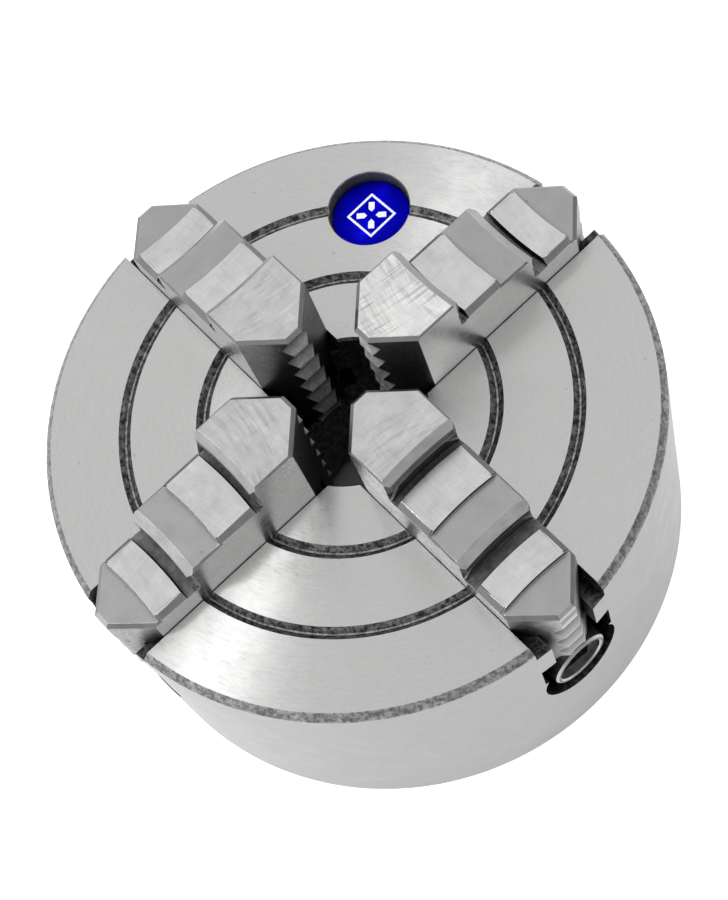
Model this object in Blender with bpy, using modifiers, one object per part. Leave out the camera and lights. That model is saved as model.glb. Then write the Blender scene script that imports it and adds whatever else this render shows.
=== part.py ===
"""Four-jaw independent lathe chuck, 125 mm nominal, direct mounting.

Frame: +Z runs along the spindle axis and points out of the front face.  The origin is the centre
of the rear face.  The four jaws lie along +X, +Y, -X and -Y, each driven by its own radial screw.
"""
import math

import bmesh
import bpy
from mathutils import Matrix, Vector

MM = 0.001                      # every size below is in millimetres times MM
GAP = 0.3 * MM                  # running gap kept between neighbouring pieces
OVERRUN = 5.0 * MM              # how far a cutter runs past what it cuts
SPILL = 1.5 * MM                # the same for the wedge that cuts a chamfer

# Body
BODY_R = 62.5 * MM
BODY_H = 56.0 * MM
FRONT_BREAK = (1.4 * MM, 1.6 * MM)          # radial and axial size of the front rim chamfer
REAR_BREAK = 0.8 * MM
BORE_R = 15.6 * MM
BODY_STEPS = 72
BORE_BREAK = 0.5 * MM
RING_GROOVES = ((29.5 * MM, 1.35 * MM), (45.6 * MM, 1.25 * MM))   # mid radius, half width
RING_FLAT = 0.15 * MM                       # half width of the flat at the bottom of a ring groove
REGISTER_R = 47.5 * MM
REGISTER_DEPTH = 3.5 * MM

# Jaw slot, measured down from the front face
SLOT_HALF = 9.05 * MM
LUG_HALF = 5.4 * MM
LUG_TOP = 4.3 * MM
LUG_BOTTOM = 12.8 * MM
SLOT_FLOOR = 20.5 * MM

# Jaw screw and its bore
SCREW_DROP = 25.0 * MM                      # axis below the front face
SCREW_BORE_R = 9.3 * MM
SCREW_BORE_STEPS = 40
SCREW_BORE_END = 18.8 * MM                  # blind end, measured from the spindle axis
SCREW_START = 19.4 * MM
SCREW_END = 62.0 * MM
SCREW_NOSE = 0.8 * MM                       # chamfer of its inner end; its outer end has half of it
THREADS = ((20.2 * MM, 37.3 * MM), (45.3 * MM, 54.6 * MM))      # either side of the neck
LEAD = 4.0 * MM                             # left-hand, so a clockwise key closes the jaw
ROOT_R = 6.4 * MM
CREST_R = 8.3 * MM
CREST_WIDTH = 1.1 * MM
FLANK = 0.8 * MM                            # axial run of one thread flank
NECK_R = 4.6 * MM
NECK = (38.0 * MM, 44.6 * MM)
SQUARE = 7.0 * MM                           # key socket, across flats
SQUARE_DEPTH = 12.0 * MM
MOUTH_R = 4.95 * MM
MOUTH_DEPTH = 0.6 * MM
TURN_STEPS = 16
THREAD_MARGIN = 0.02 * MM                   # least distance of a thread point from its end

# Thrust yoke
YOKE_HALF_WIDTH = 7.5 * MM
YOKE_RISE = 3.0 * MM                        # how far its arms stand above the screw axis
YOKE_FOOT_SINK = 0.4 * MM                   # its foot lies this far inside the register floor
YOKE_ARC_STEPS = 16
SET_SCREW_R = 2.4 * MM
SET_SCREW_LENGTH = 8.0 * MM
SET_SCREW_HEX = 2.5 * MM
SET_SCREW_STEPS = 16
SET_SCREW_BORE_DEPTH = REGISTER_DEPTH + SET_SCREW_LENGTH + 3 * GAP

# Rear mounting holes
MOUNT_PCD_R = 54.0 * MM
MOUNT_HOLE_R = 3.4 * MM
MOUNT_HOLE_DEPTH = 16.0 * MM
MOUNT_HOLE_BREAK = 0.8 * MM
MOUNT_HOLE_STEPS = 24

# Badge
BADGE_ANGLE = math.radians(42.5)
BADGE_CENTRE_R = 45.4 * MM
BADGE_POCKET_R = 8.5 * MM
BADGE_FLOOR = 4.2 * MM
BADGE_THICK = 0.9 * MM
BADGE_STEPS = 48

# Jaw, with u measured outward from the spindle axis
JAW_IN = 9.0 * MM
JAW_OUT = 62.4 * MM
JAW_HALF = 8.75 * MM
TIP_HALF = 1.9 * MM
STEP_TOPS = (20.7 * MM, 13.9 * MM, 6.9 * MM)      # above the front face, inner block to outer
RELIEF_DROP = 1.0 * MM
BEVEL_TOP = (24.5 * MM, 42.7 * MM)                # where each step's bevel leaves its top
BEVEL = (1.5 * MM, 1.9 * MM)
WALL_U = tuple(top + size for top, size in zip(BEVEL_TOP, BEVEL))
GROOVE_OUT = (27.6 * MM, 47.8 * MM)
GROOVE_DEPTH = 1.6 * MM
GROOVE_LEAN = 0.3 * MM                            # how far the groove's outer wall leans in
UNDERCUT = 0.5 * MM
UNDERCUT_RISE = 1.4 * MM
LAND_END = (35.9 * MM, 53.8 * MM)
STEP_ARC_R = 75.0 * MM
STEP_ARC_SPREAD = math.radians(22)                # half the sweep of a step's cutter
STEP_ARC_STEPS = 16
SIDE_BREAK = 0.4 * MM
LAND_BREAK = 1.15 * MM
TIP_BREAK = 0.8 * MM
INNER_TEETH = (17.0 * MM, 5.42 * MM, 1.35 * MM)   # highest gap above the front face, pitch, depth
OUTER_TEETH = (-2.9 * MM, 5.6 * MM, 1.6 * MM)
TOOTH_FLAT = 0.3 * MM
TOOTH_OVERRUN = 0.1 * MM                          # how far the comb's ridges stand off the jaw's tip

# How far each jaw stands out from its nominal place: the jaws are set one by one
JAW_SHIFTS = (-0.3 * MM, 0.3 * MM, 0.55 * MM, -0.15 * MM)

NAME = "four_jaw_chuck"

# Placements of a prism: an (across, height) outline run along X, and a (u, height) outline run along Y
ALONG_X = Matrix(((0, 0, 1, 0), (1, 0, 0, 0), (0, 1, 0, 0), (0, 0, 0, 1)))
ALONG_Y = Matrix(((1, 0, 0, 0), (0, 0, -1, 0), (0, 1, 0, 0), (0, 0, 0, 1)))


def clear_scene():
    for obj in list(bpy.data.objects):
        bpy.data.objects.remove(obj, do_unlink=True)


def new_collection(name):
    collection = bpy.data.collections.new(name)
    bpy.context.scene.collection.children.link(collection)
    return collection


def make_material(name, colour, roughness, metallic):
    material = bpy.data.materials.new(name)
    material.use_nodes = True
    shader = material.node_tree.nodes["Principled BSDF"]
    shader.inputs["Base Color"].default_value = (*colour, 1.0)
    shader.inputs["Roughness"].default_value = roughness
    shader.inputs["Metallic"].default_value = metallic
    return material


def mesh_object(name, bm, collection, material=None):
    """Turn a bmesh into a linked object with outward normals."""
    bmesh.ops.recalc_face_normals(bm, faces=bm.faces)
    mesh = bpy.data.meshes.new(name)
    bm.to_mesh(mesh)
    bm.free()
    obj = bpy.data.objects.new(name, mesh)
    collection.objects.link(obj)
    if material:
        mesh.materials.append(material)
    return obj


def shade(obj, angle=30.0):
    obj.data.shade_smooth()
    obj.data.set_sharp_from_angle(angle=math.radians(angle))


def prism(outline, low, high, place=Matrix.Identity(4)):
    """Bmesh of an outline of (x, y) points extruded from z = low to z = high, then placed."""
    bm = bmesh.new()
    floor = [bm.verts.new((x, y, low)) for x, y in outline]
    face = bm.faces.new(floor)
    grown = bmesh.ops.extrude_face_region(bm, geom=[face])
    lifted = [item for item in grown["geom"] if isinstance(item, bmesh.types.BMVert)]
    bmesh.ops.translate(bm, verts=lifted, vec=(0, 0, high - low))
    bmesh.ops.transform(bm, matrix=place, verts=bm.verts)
    return bm


def cylinder(radius, low, high, steps, place=Matrix.Identity(4), tip_radius=None):
    """Bmesh of a capped cylinder or cone from z = low to z = high, then placed."""
    bm = bmesh.new()
    top = radius if tip_radius is None else tip_radius
    bmesh.ops.create_cone(bm, cap_ends=True, segments=steps, radius1=radius, radius2=top,
                          depth=high - low, matrix=Matrix.Translation((0, 0, (low + high) / 2)))
    bmesh.ops.transform(bm, matrix=place, verts=bm.verts)
    return bm


def hide_cutter(obj):
    obj.hide_render = True
    obj.display_type = "WIRE"


def cut(obj, cutter):
    """Subtract a cutter with a live Boolean."""
    hide_cutter(cutter)
    modifier = obj.modifiers.new("cut " + cutter.name, "BOOLEAN")
    modifier.operation = "DIFFERENCE"
    modifier.solver = "EXACT"
    modifier.object = cutter


def bake(obj, name, material):
    """Mesh of a finished blank with its modifiers applied, in one material."""
    hide_cutter(obj)
    depsgraph = bpy.context.evaluated_depsgraph_get()
    mesh = bpy.data.meshes.new_from_object(obj.evaluated_get(depsgraph))
    mesh.name = name
    mesh.materials.clear()
    mesh.materials.append(material)
    return mesh


def turned(name, profile, steps, collection, material=None):
    """Closed profile of (radius, z) points turned about Z with a Screw modifier."""
    mesh = bpy.data.meshes.new(name)
    edges = [(i, (i + 1) % len(profile)) for i in range(len(profile))]
    mesh.from_pydata([(radius, 0, z) for radius, z in profile], edges, [])
    obj = bpy.data.objects.new(name, mesh)
    collection.objects.link(obj)
    screw = obj.modifiers.new("turn", "SCREW")
    screw.axis = "Z"
    screw.steps = steps
    screw.render_steps = steps
    screw.use_merge_vertices = True
    screw.merge_threshold = 0.00001
    screw.use_smooth_shade = False
    if material:
        mesh.materials.append(material)
    return obj


def quarter(index):
    """Rotation that carries the +X jaw station to station number index, or between two for a half."""
    return Matrix.Rotation(index * math.pi / 2, 4, "Z")


def radial(height):
    """Placement that lays a Z-axis shape along +X at the given height."""
    return Matrix.Translation((0, 0, height)) @ Matrix.Rotation(math.pi / 2, 4, "Y")


# ---------------------------------------------------------------- body

def ring_groove(mid, half):
    """V groove in the front face, from its inner edge to its outer edge."""
    depth = half - RING_FLAT
    return [(mid - half, BODY_H), (mid - RING_FLAT, BODY_H - depth),
            (mid + RING_FLAT, BODY_H - depth), (mid + half, BODY_H)]


def body_profile():
    radial_break, axial_break = FRONT_BREAK
    points = [(BORE_R + BORE_BREAK, BODY_H)]
    for mid, half in RING_GROOVES:
        points += ring_groove(mid, half)
    points += [(BODY_R - radial_break, BODY_H), (BODY_R, BODY_H - axial_break),
               (BODY_R, REAR_BREAK), (BODY_R - REAR_BREAK, 0),
               (REGISTER_R, 0), (REGISTER_R, REGISTER_DEPTH),
               (BORE_R + BORE_BREAK, REGISTER_DEPTH), (BORE_R, REGISTER_DEPTH + BORE_BREAK),
               (BORE_R, BODY_H - BORE_BREAK)]
    return points


def slot_outline():
    """T section of the jaw slot as (across, height) points."""
    top = BODY_H + OVERRUN
    right = [(SLOT_HALF, BODY_H - SLOT_FLOOR), (SLOT_HALF, BODY_H - LUG_BOTTOM),
             (LUG_HALF, BODY_H - LUG_BOTTOM), (LUG_HALF, BODY_H - LUG_TOP),
             (SLOT_HALF, BODY_H - LUG_TOP), (SLOT_HALF, top)]
    left = [(-across, height) for across, height in reversed(right)]
    return right + left


def yoke_pocket_outline():
    half_thick = (NECK[1] - NECK[0]) / 2
    half_width = YOKE_HALF_WIDTH + GAP
    return [(-half_thick, -half_width), (half_thick, -half_width),
            (half_thick, half_width), (-half_thick, half_width)]


def set_screw_place(side):
    """Axis of a yoke's set screw: on the joint between the yoke's edge and the body."""
    return Matrix.Translation(((NECK[0] + NECK[1]) / 2, side * (YOKE_HALF_WIDTH + GAP / 2), 0))


def cut_slots(body, cutters):
    reach = BODY_R + OVERRUN
    for index in range(2):
        shape = prism(slot_outline(), -reach, reach, quarter(index) @ ALONG_X)
        cut(body, mesh_object("slot_cutter_%d" % index, shape, cutters))


def cut_screw_bores(body, cutters):
    for index in range(4):
        place = quarter(index) @ radial(BODY_H - SCREW_DROP)
        shape = cylinder(SCREW_BORE_R, SCREW_BORE_END, BODY_R + OVERRUN, SCREW_BORE_STEPS, place)
        cut(body, mesh_object("screw_bore_cutter_%d" % index, shape, cutters))


def cut_yoke_pockets(body, cutters):
    centre = Matrix.Translation(((NECK[0] + NECK[1]) / 2, 0, 0))
    top = BODY_H - SCREW_DROP
    for index in range(4):
        shape = prism(yoke_pocket_outline(), -MM, top, quarter(index) @ centre)
        cut(body, mesh_object("yoke_pocket_cutter_%d" % index, shape, cutters))
        for side in (-1, 1):
            place = quarter(index) @ set_screw_place(side)
            shape = cylinder(SET_SCREW_R + GAP, -MM, SET_SCREW_BORE_DEPTH, SET_SCREW_STEPS, place)
            cut(body, mesh_object("set_screw_cutter_%d_%d" % (index, side + 1), shape, cutters))


def cut_mounting_holes(body, cutters):
    for index in range(4):
        place = quarter(index + 0.5) @ Matrix.Translation((MOUNT_PCD_R, 0, 0))
        hole = cylinder(MOUNT_HOLE_R, -MM, MOUNT_HOLE_DEPTH, MOUNT_HOLE_STEPS, place)
        cut(body, mesh_object("mount_hole_cutter_%d" % index, hole, cutters))
        mouth = cylinder(MOUNT_HOLE_R + MOUNT_HOLE_BREAK + MM, -MM, MOUNT_HOLE_BREAK, MOUNT_HOLE_STEPS,
                         place, MOUNT_HOLE_R)
        cut(body, mesh_object("mount_mouth_cutter_%d" % index, mouth, cutters))


def badge_place():
    return Matrix.Rotation(BADGE_ANGLE, 4, "Z") @ Matrix.Translation((BADGE_CENTRE_R, 0, 0))


def make_body(parts, cutters, material):
    body = turned("body", body_profile(), BODY_STEPS, parts, material)
    cut_slots(body, cutters)
    cut_screw_bores(body, cutters)
    cut_yoke_pockets(body, cutters)
    cut_mounting_holes(body, cutters)
    pocket = cylinder(BADGE_POCKET_R, BODY_H - BADGE_FLOOR, BODY_H + MM, BADGE_STEPS, badge_place())
    cut(body, mesh_object("badge_pocket_cutter", pocket, cutters))
    return body


def make_badge(parts, material):
    floor = BODY_H - BADGE_FLOOR + GAP
    shape = cylinder(BADGE_POCKET_R - GAP, floor, floor + BADGE_THICK, BADGE_STEPS, badge_place())
    badge = mesh_object("badge_disc", shape, parts, material)
    shade(badge)
    return badge


# ---------------------------------------------------------------- screw thread

def thread_profile(grow):
    """One lead of thread as (axial offset, radius) about the crest, grown by a clearance."""
    crest_half = CREST_WIDTH / 2 + grow
    root_half = crest_half + FLANK
    return [(-root_half, ROOT_R + grow), (-crest_half, CREST_R + grow),
            (crest_half, CREST_R + grow), (root_half, ROOT_R + grow)]


def thread_points(low, high, step, grow):
    """Points of a left-hand thread between low and high, along the column at one angular step.

    Columns are evenly spaced in angle, and each is shifted along the rod by its share of the lead.
    """
    root = ROOT_R + grow
    fade = LEAD / 2
    points = [(low, root)]
    for turn in range(math.floor(low / LEAD) - 1, math.ceil(high / LEAD) + 1):
        for offset, radius in thread_profile(grow):
            z = (turn + step / TURN_STEPS) * LEAD + offset
            if low + THREAD_MARGIN < z < high - THREAD_MARGIN:
                rise = min((z - low) / fade, (high - z) / fade, 1.0)
                points.append((z, root + (radius - root) * rise))
    return points + [(high, root)]


def stitch(bm, first, second):
    """Join two neighbouring columns, pairing the points that lie level or one step of lead apart."""
    reach = LEAD / TURN_STEPS * 1.01
    i = j = 0
    while i < len(first) - 1 or j < len(second) - 1:
        next_i = first[i + 1].co.z if i < len(first) - 1 else math.inf
        next_j = second[j + 1].co.z if j < len(second) - 1 else math.inf
        if abs(next_i - next_j) < reach:
            bm.faces.new((first[i], first[i + 1], second[j + 1], second[j]))
            i += 1
            j += 1
        elif next_i < next_j:
            bm.faces.new((first[i], first[i + 1], second[j]))
            i += 1
        else:
            bm.faces.new((first[i], second[j + 1], second[j]))
            j += 1


def threaded_rod(layout, grow=0.0):
    """Bmesh of a rod along +Z.  The layout lists ("ring", z, radius) and ("thread", low, high)."""
    bm = bmesh.new()
    columns = []
    for step in range(TURN_STEPS):
        points = []
        for kind, first, second in layout:
            if kind == "ring":
                points.append((first, second))
            else:
                points += thread_points(first, second, step, grow)
        angle = -2 * math.pi * step / TURN_STEPS
        columns.append([bm.verts.new((r * math.cos(angle), r * math.sin(angle), z)) for z, r in points])
    for index, column in enumerate(columns):
        stitch(bm, column, columns[(index + 1) % TURN_STEPS])
    bm.faces.new([column[0] for column in columns])
    bm.faces.new([column[-1] for column in reversed(columns)])
    return bm


# ---------------------------------------------------------------- jaw screws

def screw_layout():
    face_break = SCREW_NOSE / 2
    return [("ring", SCREW_START, ROOT_R - SCREW_NOSE), ("ring", SCREW_START + SCREW_NOSE, ROOT_R),
            ("thread", *THREADS[0]),
            ("ring", NECK[0], ROOT_R), ("ring", NECK[0], NECK_R),
            ("ring", NECK[1], NECK_R), ("ring", NECK[1], ROOT_R),
            ("thread", *THREADS[1]),
            ("ring", SCREW_END - face_break, ROOT_R), ("ring", SCREW_END, ROOT_R - face_break)]


def screw_mesh(cutters, material):
    """Screw along +Z with a round mouth and a square key socket in its outer end."""
    blank = mesh_object("screw_blank", threaded_rod(screw_layout()), cutters)
    mouth = cylinder(MOUTH_R, SCREW_END - MOUTH_DEPTH, SCREW_END + MM, TURN_STEPS)
    cut(blank, mesh_object("screw_mouth_cutter", mouth, cutters))
    half = SQUARE / 2
    outline = [(-half, -half), (half, -half), (half, half), (-half, half)]
    square = prism(outline, SCREW_END - SQUARE_DEPTH, SCREW_END - MOUTH_DEPTH / 2)
    cut(blank, mesh_object("key_socket_cutter", square, cutters))
    return bake(blank, "jaw_screw", material)


def make_screws(parts, cutters, material):
    mesh = screw_mesh(cutters, material)
    for index, shift in enumerate(JAW_SHIFTS):
        screw = bpy.data.objects.new("jaw_screw_%d" % (index + 1), mesh)
        turn = Matrix.Rotation(2 * math.pi * shift / LEAD, 4, "Z")
        screw.matrix_world = quarter(index) @ radial(BODY_H - SCREW_DROP) @ turn
        parts.objects.link(screw)
        shade(screw)


# ---------------------------------------------------------------- thrust yokes

def yoke_outline():
    """U plate as (across, height), open upward around the screw's neck."""
    axis = BODY_H - SCREW_DROP
    foot = REGISTER_DEPTH + YOKE_FOOT_SINK
    notch = NECK_R + GAP
    arc = [(-notch * math.cos(angle), axis - notch * math.sin(angle))
           for angle in (math.pi * i / YOKE_ARC_STEPS for i in range(YOKE_ARC_STEPS + 1))]
    return ([(-YOKE_HALF_WIDTH, foot), (YOKE_HALF_WIDTH, foot), (YOKE_HALF_WIDTH, axis + YOKE_RISE),
             (notch, axis + YOKE_RISE)] + arc[::-1] + [(-notch, axis + YOKE_RISE),
             (-YOKE_HALF_WIDTH, axis + YOKE_RISE)])


def make_yokes(parts, cutters, material):
    plate = prism(yoke_outline(), NECK[0] + GAP, NECK[1] - GAP, ALONG_X)
    blank = mesh_object("yoke_blank", plate, cutters)
    for side in (-1, 1):
        shape = cylinder(SET_SCREW_R + GAP, 0, SET_SCREW_BORE_DEPTH, SET_SCREW_STEPS, set_screw_place(side))
        cut(blank, mesh_object("yoke_notch_cutter_%d" % (side + 1), shape, cutters))
    mesh = bake(blank, "thrust_yoke", material)
    for index in range(4):
        yoke = bpy.data.objects.new("thrust_yoke_%d" % (index + 1), mesh)
        yoke.matrix_world = quarter(index)
        parts.objects.link(yoke)
        shade(yoke)


def make_set_screws(parts, cutters, material):
    """Headless screws that lock each yoke, half in its edge and half in the body."""
    low = REGISTER_DEPTH + YOKE_FOOT_SINK
    shape = cylinder(SET_SCREW_R, low, low + SET_SCREW_LENGTH, SET_SCREW_STEPS)
    blank = mesh_object("set_screw_blank", shape, cutters)
    socket = cylinder(SET_SCREW_HEX / 2 / math.cos(math.pi / 6), low - MM, low + SET_SCREW_LENGTH / 3, 6)
    cut(blank, mesh_object("hex_socket_cutter", socket, cutters))
    mesh = bake(blank, "yoke_set_screw", material)
    for index in range(4):
        for side in (-1, 1):
            letter = "a" if side < 0 else "b"
            screw = bpy.data.objects.new("yoke_set_screw_%d%s" % (index + 1, letter), mesh)
            screw.matrix_world = quarter(index) @ set_screw_place(side)
            parts.objects.link(screw)
            shade(screw)


# ---------------------------------------------------------------- jaws

def jaw_plan():
    """Pointed plan of the jaw as (u, v): truncated tips with faces at 45 degrees."""
    slope = JAW_HALF - TIP_HALF
    half = [(JAW_IN, TIP_HALF), (JAW_IN + slope, JAW_HALF), (JAW_OUT - slope, JAW_HALF),
            (JAW_OUT, TIP_HALF)]
    return [(u, -v) for u, v in half] + half[::-1]


def step_cutter(step, cutters):
    """Everything above one lower step: bevel, wall, undercut groove, ground land and relief."""
    top = BODY_H + STEP_TOPS[step]
    if step > 0:
        top -= RELIEF_DROP
    land = BODY_H + STEP_TOPS[step + 1]
    wall = WALL_U[step]
    bevel_out, bevel_drop = wall - BEVEL_TOP[step], BEVEL[step]
    start = BEVEL_TOP[step] - SPILL * bevel_out / bevel_drop
    beyond = JAW_OUT + OVERRUN
    ceiling = BODY_H + STEP_TOPS[0] + OVERRUN
    profile = [(start, top + SPILL),
               (wall, top - bevel_drop),
               (wall, land + UNDERCUT_RISE),
               (wall - UNDERCUT, land + UNDERCUT_RISE - UNDERCUT),
               (wall - UNDERCUT, land - GROOVE_DEPTH),
               (GROOVE_OUT[step] - GROOVE_LEAN, land - GROOVE_DEPTH),
               (GROOVE_OUT[step], land),
               (LAND_END[step], land),
               (LAND_END[step], land - RELIEF_DROP),
               (beyond, land - RELIEF_DROP),
               (beyond, ceiling),
               (start, ceiling)]
    centre = wall + STEP_ARC_R
    bm = bmesh.new()
    ring = [bm.verts.new((u - centre, 0, z)) for u, z in profile]
    face = bm.faces.new(ring)
    bmesh.ops.rotate(bm, verts=ring, cent=(0, 0, 0), matrix=Matrix.Rotation(-STEP_ARC_SPREAD, 3, "Z"))
    bmesh.ops.spin(bm, geom=[face], cent=(0, 0, 0), axis=(0, 0, 1), angle=2 * STEP_ARC_SPREAD,
                   steps=STEP_ARC_STEPS, use_duplicate=False)
    bmesh.ops.translate(bm, verts=bm.verts, vec=(centre, 0, 0))
    return mesh_object("step_cutter_%d" % step, bm, cutters)


def edge_cutter(name, start, end, out, size, cutters, overrun=0.0):
    """Wedge that chamfers a straight top edge; `out` is the horizontal outward direction."""
    start, end, out = Vector(start), Vector(end), Vector(out).normalized()
    along = (end - start).normalized()
    start, end = start - along * overrun, end + along * overrun
    up = Vector((0, 0, 1))
    section = [-out * size - (out - up) * SPILL, -up * size + (out - up) * SPILL, (out + up) * 2 * SPILL]
    bm = bmesh.new()
    ends = [[bm.verts.new(point + offset) for offset in section] for point in (start, end)]
    bm.faces.new(ends[0])
    bm.faces.new(ends[1][::-1])
    for i in range(3):
        j = (i + 1) % 3
        bm.faces.new((ends[0][i], ends[0][j], ends[1][j], ends[1][i]))
    return mesh_object(name, bm, cutters)


def tooth_comb(name, tip, inward, teeth, cutters):
    """Comb of V notches across a jaw tip; `inward` is the direction into the jaw along u."""
    first, pitch, depth = teeth
    near = tip - inward * TOOTH_OVERRUN
    half = (pitch - TOOTH_FLAT) / 2 * (depth + TOOTH_OVERRUN) / depth
    back = tip - inward * OVERRUN
    outline = [(back, BODY_H + first + pitch)]
    height = BODY_H + first
    while height > BODY_H - SLOT_FLOOR - pitch:
        outline += [(near, height + half), (tip + inward * depth, height), (near, height - half)]
        height -= pitch
    outline.append((back, height))
    return mesh_object(name, prism(outline, -JAW_HALF, JAW_HALF, ALONG_Y), cutters)


def neck_cutter(side, cutters):
    """Groove along one flank of the jaw for the body's lug."""
    low, high = BODY_H - LUG_BOTTOM - GAP, BODY_H - LUG_TOP + GAP
    inner, outer = side * (LUG_HALF - GAP), side * (JAW_HALF + OVERRUN)
    near, far = JAW_IN - OVERRUN, JAW_OUT + OVERRUN
    outline = [(near, inner), (far, inner), (far, outer), (near, outer)]
    return mesh_object("lug_groove_cutter_%d" % (side + 1), prism(outline, low, high), cutters)


def side_edges():
    """Stretches of the long top edges as (u from, u to, height, chamfer)."""
    top, mid, low = (BODY_H + rise for rise in STEP_TOPS)
    slope = JAW_HALF - TIP_HALF
    return [(JAW_IN + slope, WALL_U[0] - UNDERCUT, top, SIDE_BREAK),
            (WALL_U[0] - UNDERCUT, LAND_END[0], mid, LAND_BREAK),
            (LAND_END[0], WALL_U[1] - UNDERCUT, mid - RELIEF_DROP, SIDE_BREAK),
            (WALL_U[1] - UNDERCUT, LAND_END[1], low, LAND_BREAK),
            (LAND_END[1], JAW_OUT - slope, low - RELIEF_DROP, SIDE_BREAK)]


def jaw_mesh(cutters, material):
    blank = mesh_object("jaw_blank", prism(jaw_plan(), BODY_H - SLOT_FLOOR + GAP, BODY_H + STEP_TOPS[0]),
                        cutters)
    for step in range(2):
        cut(blank, step_cutter(step, cutters))
    for side in (-1, 1):
        cut(blank, neck_cutter(side, cutters))
        for index, (low, high, height, size) in enumerate(side_edges()):
            name = "side_break_%d_%d" % (side + 1, index)
            cut(blank, edge_cutter(name, (low, side * JAW_HALF, height), (high, side * JAW_HALF, height),
                                   (0, side, 0), size, cutters))
    slope = JAW_HALF - TIP_HALF
    for end, tip, inward, height, teeth in (
            ("inner", JAW_IN, 1, STEP_TOPS[0], INNER_TEETH),
            ("outer", JAW_OUT, -1, STEP_TOPS[2] - RELIEF_DROP, OUTER_TEETH)):
        z = BODY_H + height
        cut(blank, edge_cutter("tip_break_" + end, (tip, -TIP_HALF, z), (tip, TIP_HALF, z),
                               (-inward, 0, 0), TIP_BREAK, cutters, OVERRUN))
        for side in (-1, 1):
            start = (tip, side * TIP_HALF, z)
            finish = (tip + inward * slope, side * JAW_HALF, z)
            cut(blank, edge_cutter("point_break_%s_%d" % (end, side + 1), start, finish,
                                   (-inward, side, 0), TIP_BREAK, cutters, OVERRUN))
        cut(blank, tooth_comb("tooth_comb_" + end, tip, inward, teeth, cutters))
    start, end = JAW_IN - OVERRUN, JAW_OUT + OVERRUN
    layout = [("ring", start - LEAD, ROOT_R + GAP), ("thread", start, end),
              ("ring", end + LEAD, ROOT_R + GAP)]
    rod = threaded_rod(layout, GAP)
    bmesh.ops.transform(rod, matrix=radial(BODY_H - SCREW_DROP), verts=rod.verts)
    cut(blank, mesh_object("half_nut_cutter", rod, cutters))
    return bake(blank, "jaw", material)


def make_jaws(parts, cutters, material):
    mesh = jaw_mesh(cutters, material)
    for index, shift in enumerate(JAW_SHIFTS):
        jaw = bpy.data.objects.new("jaw_%d" % (index + 1), mesh)
        jaw.matrix_world = quarter(index) @ Matrix.Translation((shift, 0, 0))
        parts.objects.link(jaw)
        shade(jaw)


def main():
    clear_scene()
    parts = new_collection(NAME)
    cutters = new_collection("cutters")
    cutters.hide_render = True
    cast = make_material("ground_iron", (0.62, 0.62, 0.62), 0.38, 1.0)
    hardened = make_material("hardened_steel", (0.58, 0.58, 0.57), 0.32, 1.0)
    blackened = make_material("blackened_steel", (0.30, 0.30, 0.30), 0.45, 1.0)
    blue = make_material("blue_enamel", (0.0, 0.01, 0.55), 0.3, 0.2)
    make_body(parts, cutters, cast)
    make_badge(parts, blue)
    make_jaws(parts, cutters, hardened)
    make_screws(parts, cutters, hardened)
    make_yokes(parts, cutters, blackened)
    make_set_screws(parts, cutters, blackened)


main()
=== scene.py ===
import math

import bmesh
import bpy
from mathutils import Matrix, Vector


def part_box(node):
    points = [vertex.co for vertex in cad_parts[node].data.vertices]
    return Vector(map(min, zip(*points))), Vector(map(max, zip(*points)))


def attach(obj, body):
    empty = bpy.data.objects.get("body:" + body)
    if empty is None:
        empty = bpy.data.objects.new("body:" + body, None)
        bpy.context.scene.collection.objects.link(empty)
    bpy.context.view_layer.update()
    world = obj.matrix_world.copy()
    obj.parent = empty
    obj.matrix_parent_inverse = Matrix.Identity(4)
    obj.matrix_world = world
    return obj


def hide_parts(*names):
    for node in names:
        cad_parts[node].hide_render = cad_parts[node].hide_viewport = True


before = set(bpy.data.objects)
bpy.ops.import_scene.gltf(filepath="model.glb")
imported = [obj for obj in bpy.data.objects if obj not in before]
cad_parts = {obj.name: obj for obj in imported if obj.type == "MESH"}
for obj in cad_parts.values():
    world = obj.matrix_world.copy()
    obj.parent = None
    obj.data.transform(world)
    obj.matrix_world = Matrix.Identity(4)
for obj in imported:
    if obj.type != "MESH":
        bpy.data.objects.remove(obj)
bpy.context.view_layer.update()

MM = 0.001
GAP = 0.3 * MM                               # clearance round a moving piece

# Body, from the frame and from the sizes that it was built to
BODY_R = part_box("body")[1].x
BODY_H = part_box("body")[1].z
BODY_STEPS = 240
BODY_CREASE = 28.0                           # degrees; a sharper corner than this stays sharp
EASE, FINE_EASE, FAINT_EASE = 0.1 * MM, 0.08 * MM, 0.06 * MM     # blunting of the turned corners
RIM_BREAK = (1.4 * MM, 1.6 * MM)             # chamfer round the face: inward and downward
REAR_BREAK = 0.8 * MM
BORE_R = 15.6 * MM
BORE_BREAK = 0.5 * MM
RING_GROOVES = ((29.5 * MM, 1.35 * MM), (45.6 * MM, 1.25 * MM))  # middle radius and half width
RING_SHOULDER = (0.1 * MM, 0.14 * MM)        # blunting of a groove's edge: inward and downward
RING_FLAT = 0.15 * MM
REGISTER_R = 47.5 * MM
REGISTER_DEPTH = 3.5 * MM
REGISTER_BREAK = 0.2 * MM
SLOT_HALF = 8.87 * MM
LUG_HALF = 5.4 * MM
LUG_TOP = 4.3 * MM
LUG_BOTTOM = 12.8 * MM
SLOT_FLOOR = 20.5 * MM
SLOT_BREAK = 0.08 * MM
SCREW_Z = BODY_H - 25.0 * MM
SCREW_BORE_R = 9.3 * MM
SCREW_BORE_END = 18.8 * MM
NECK = (38.0 * MM, 44.6 * MM)
YOKE_HALF_WIDTH = 7.5 * MM
SET_SCREW_R = 2.4 * MM
SET_SCREW_BORE = 12.4 * MM
MOUNT_PCD_R = 54.0 * MM
MOUNT_THREAD = (3.35 * MM, 3.9 * MM)         # root and crest radius of the tapped holes
MOUNT_CREST_HALF = 0.1 * MM
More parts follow.
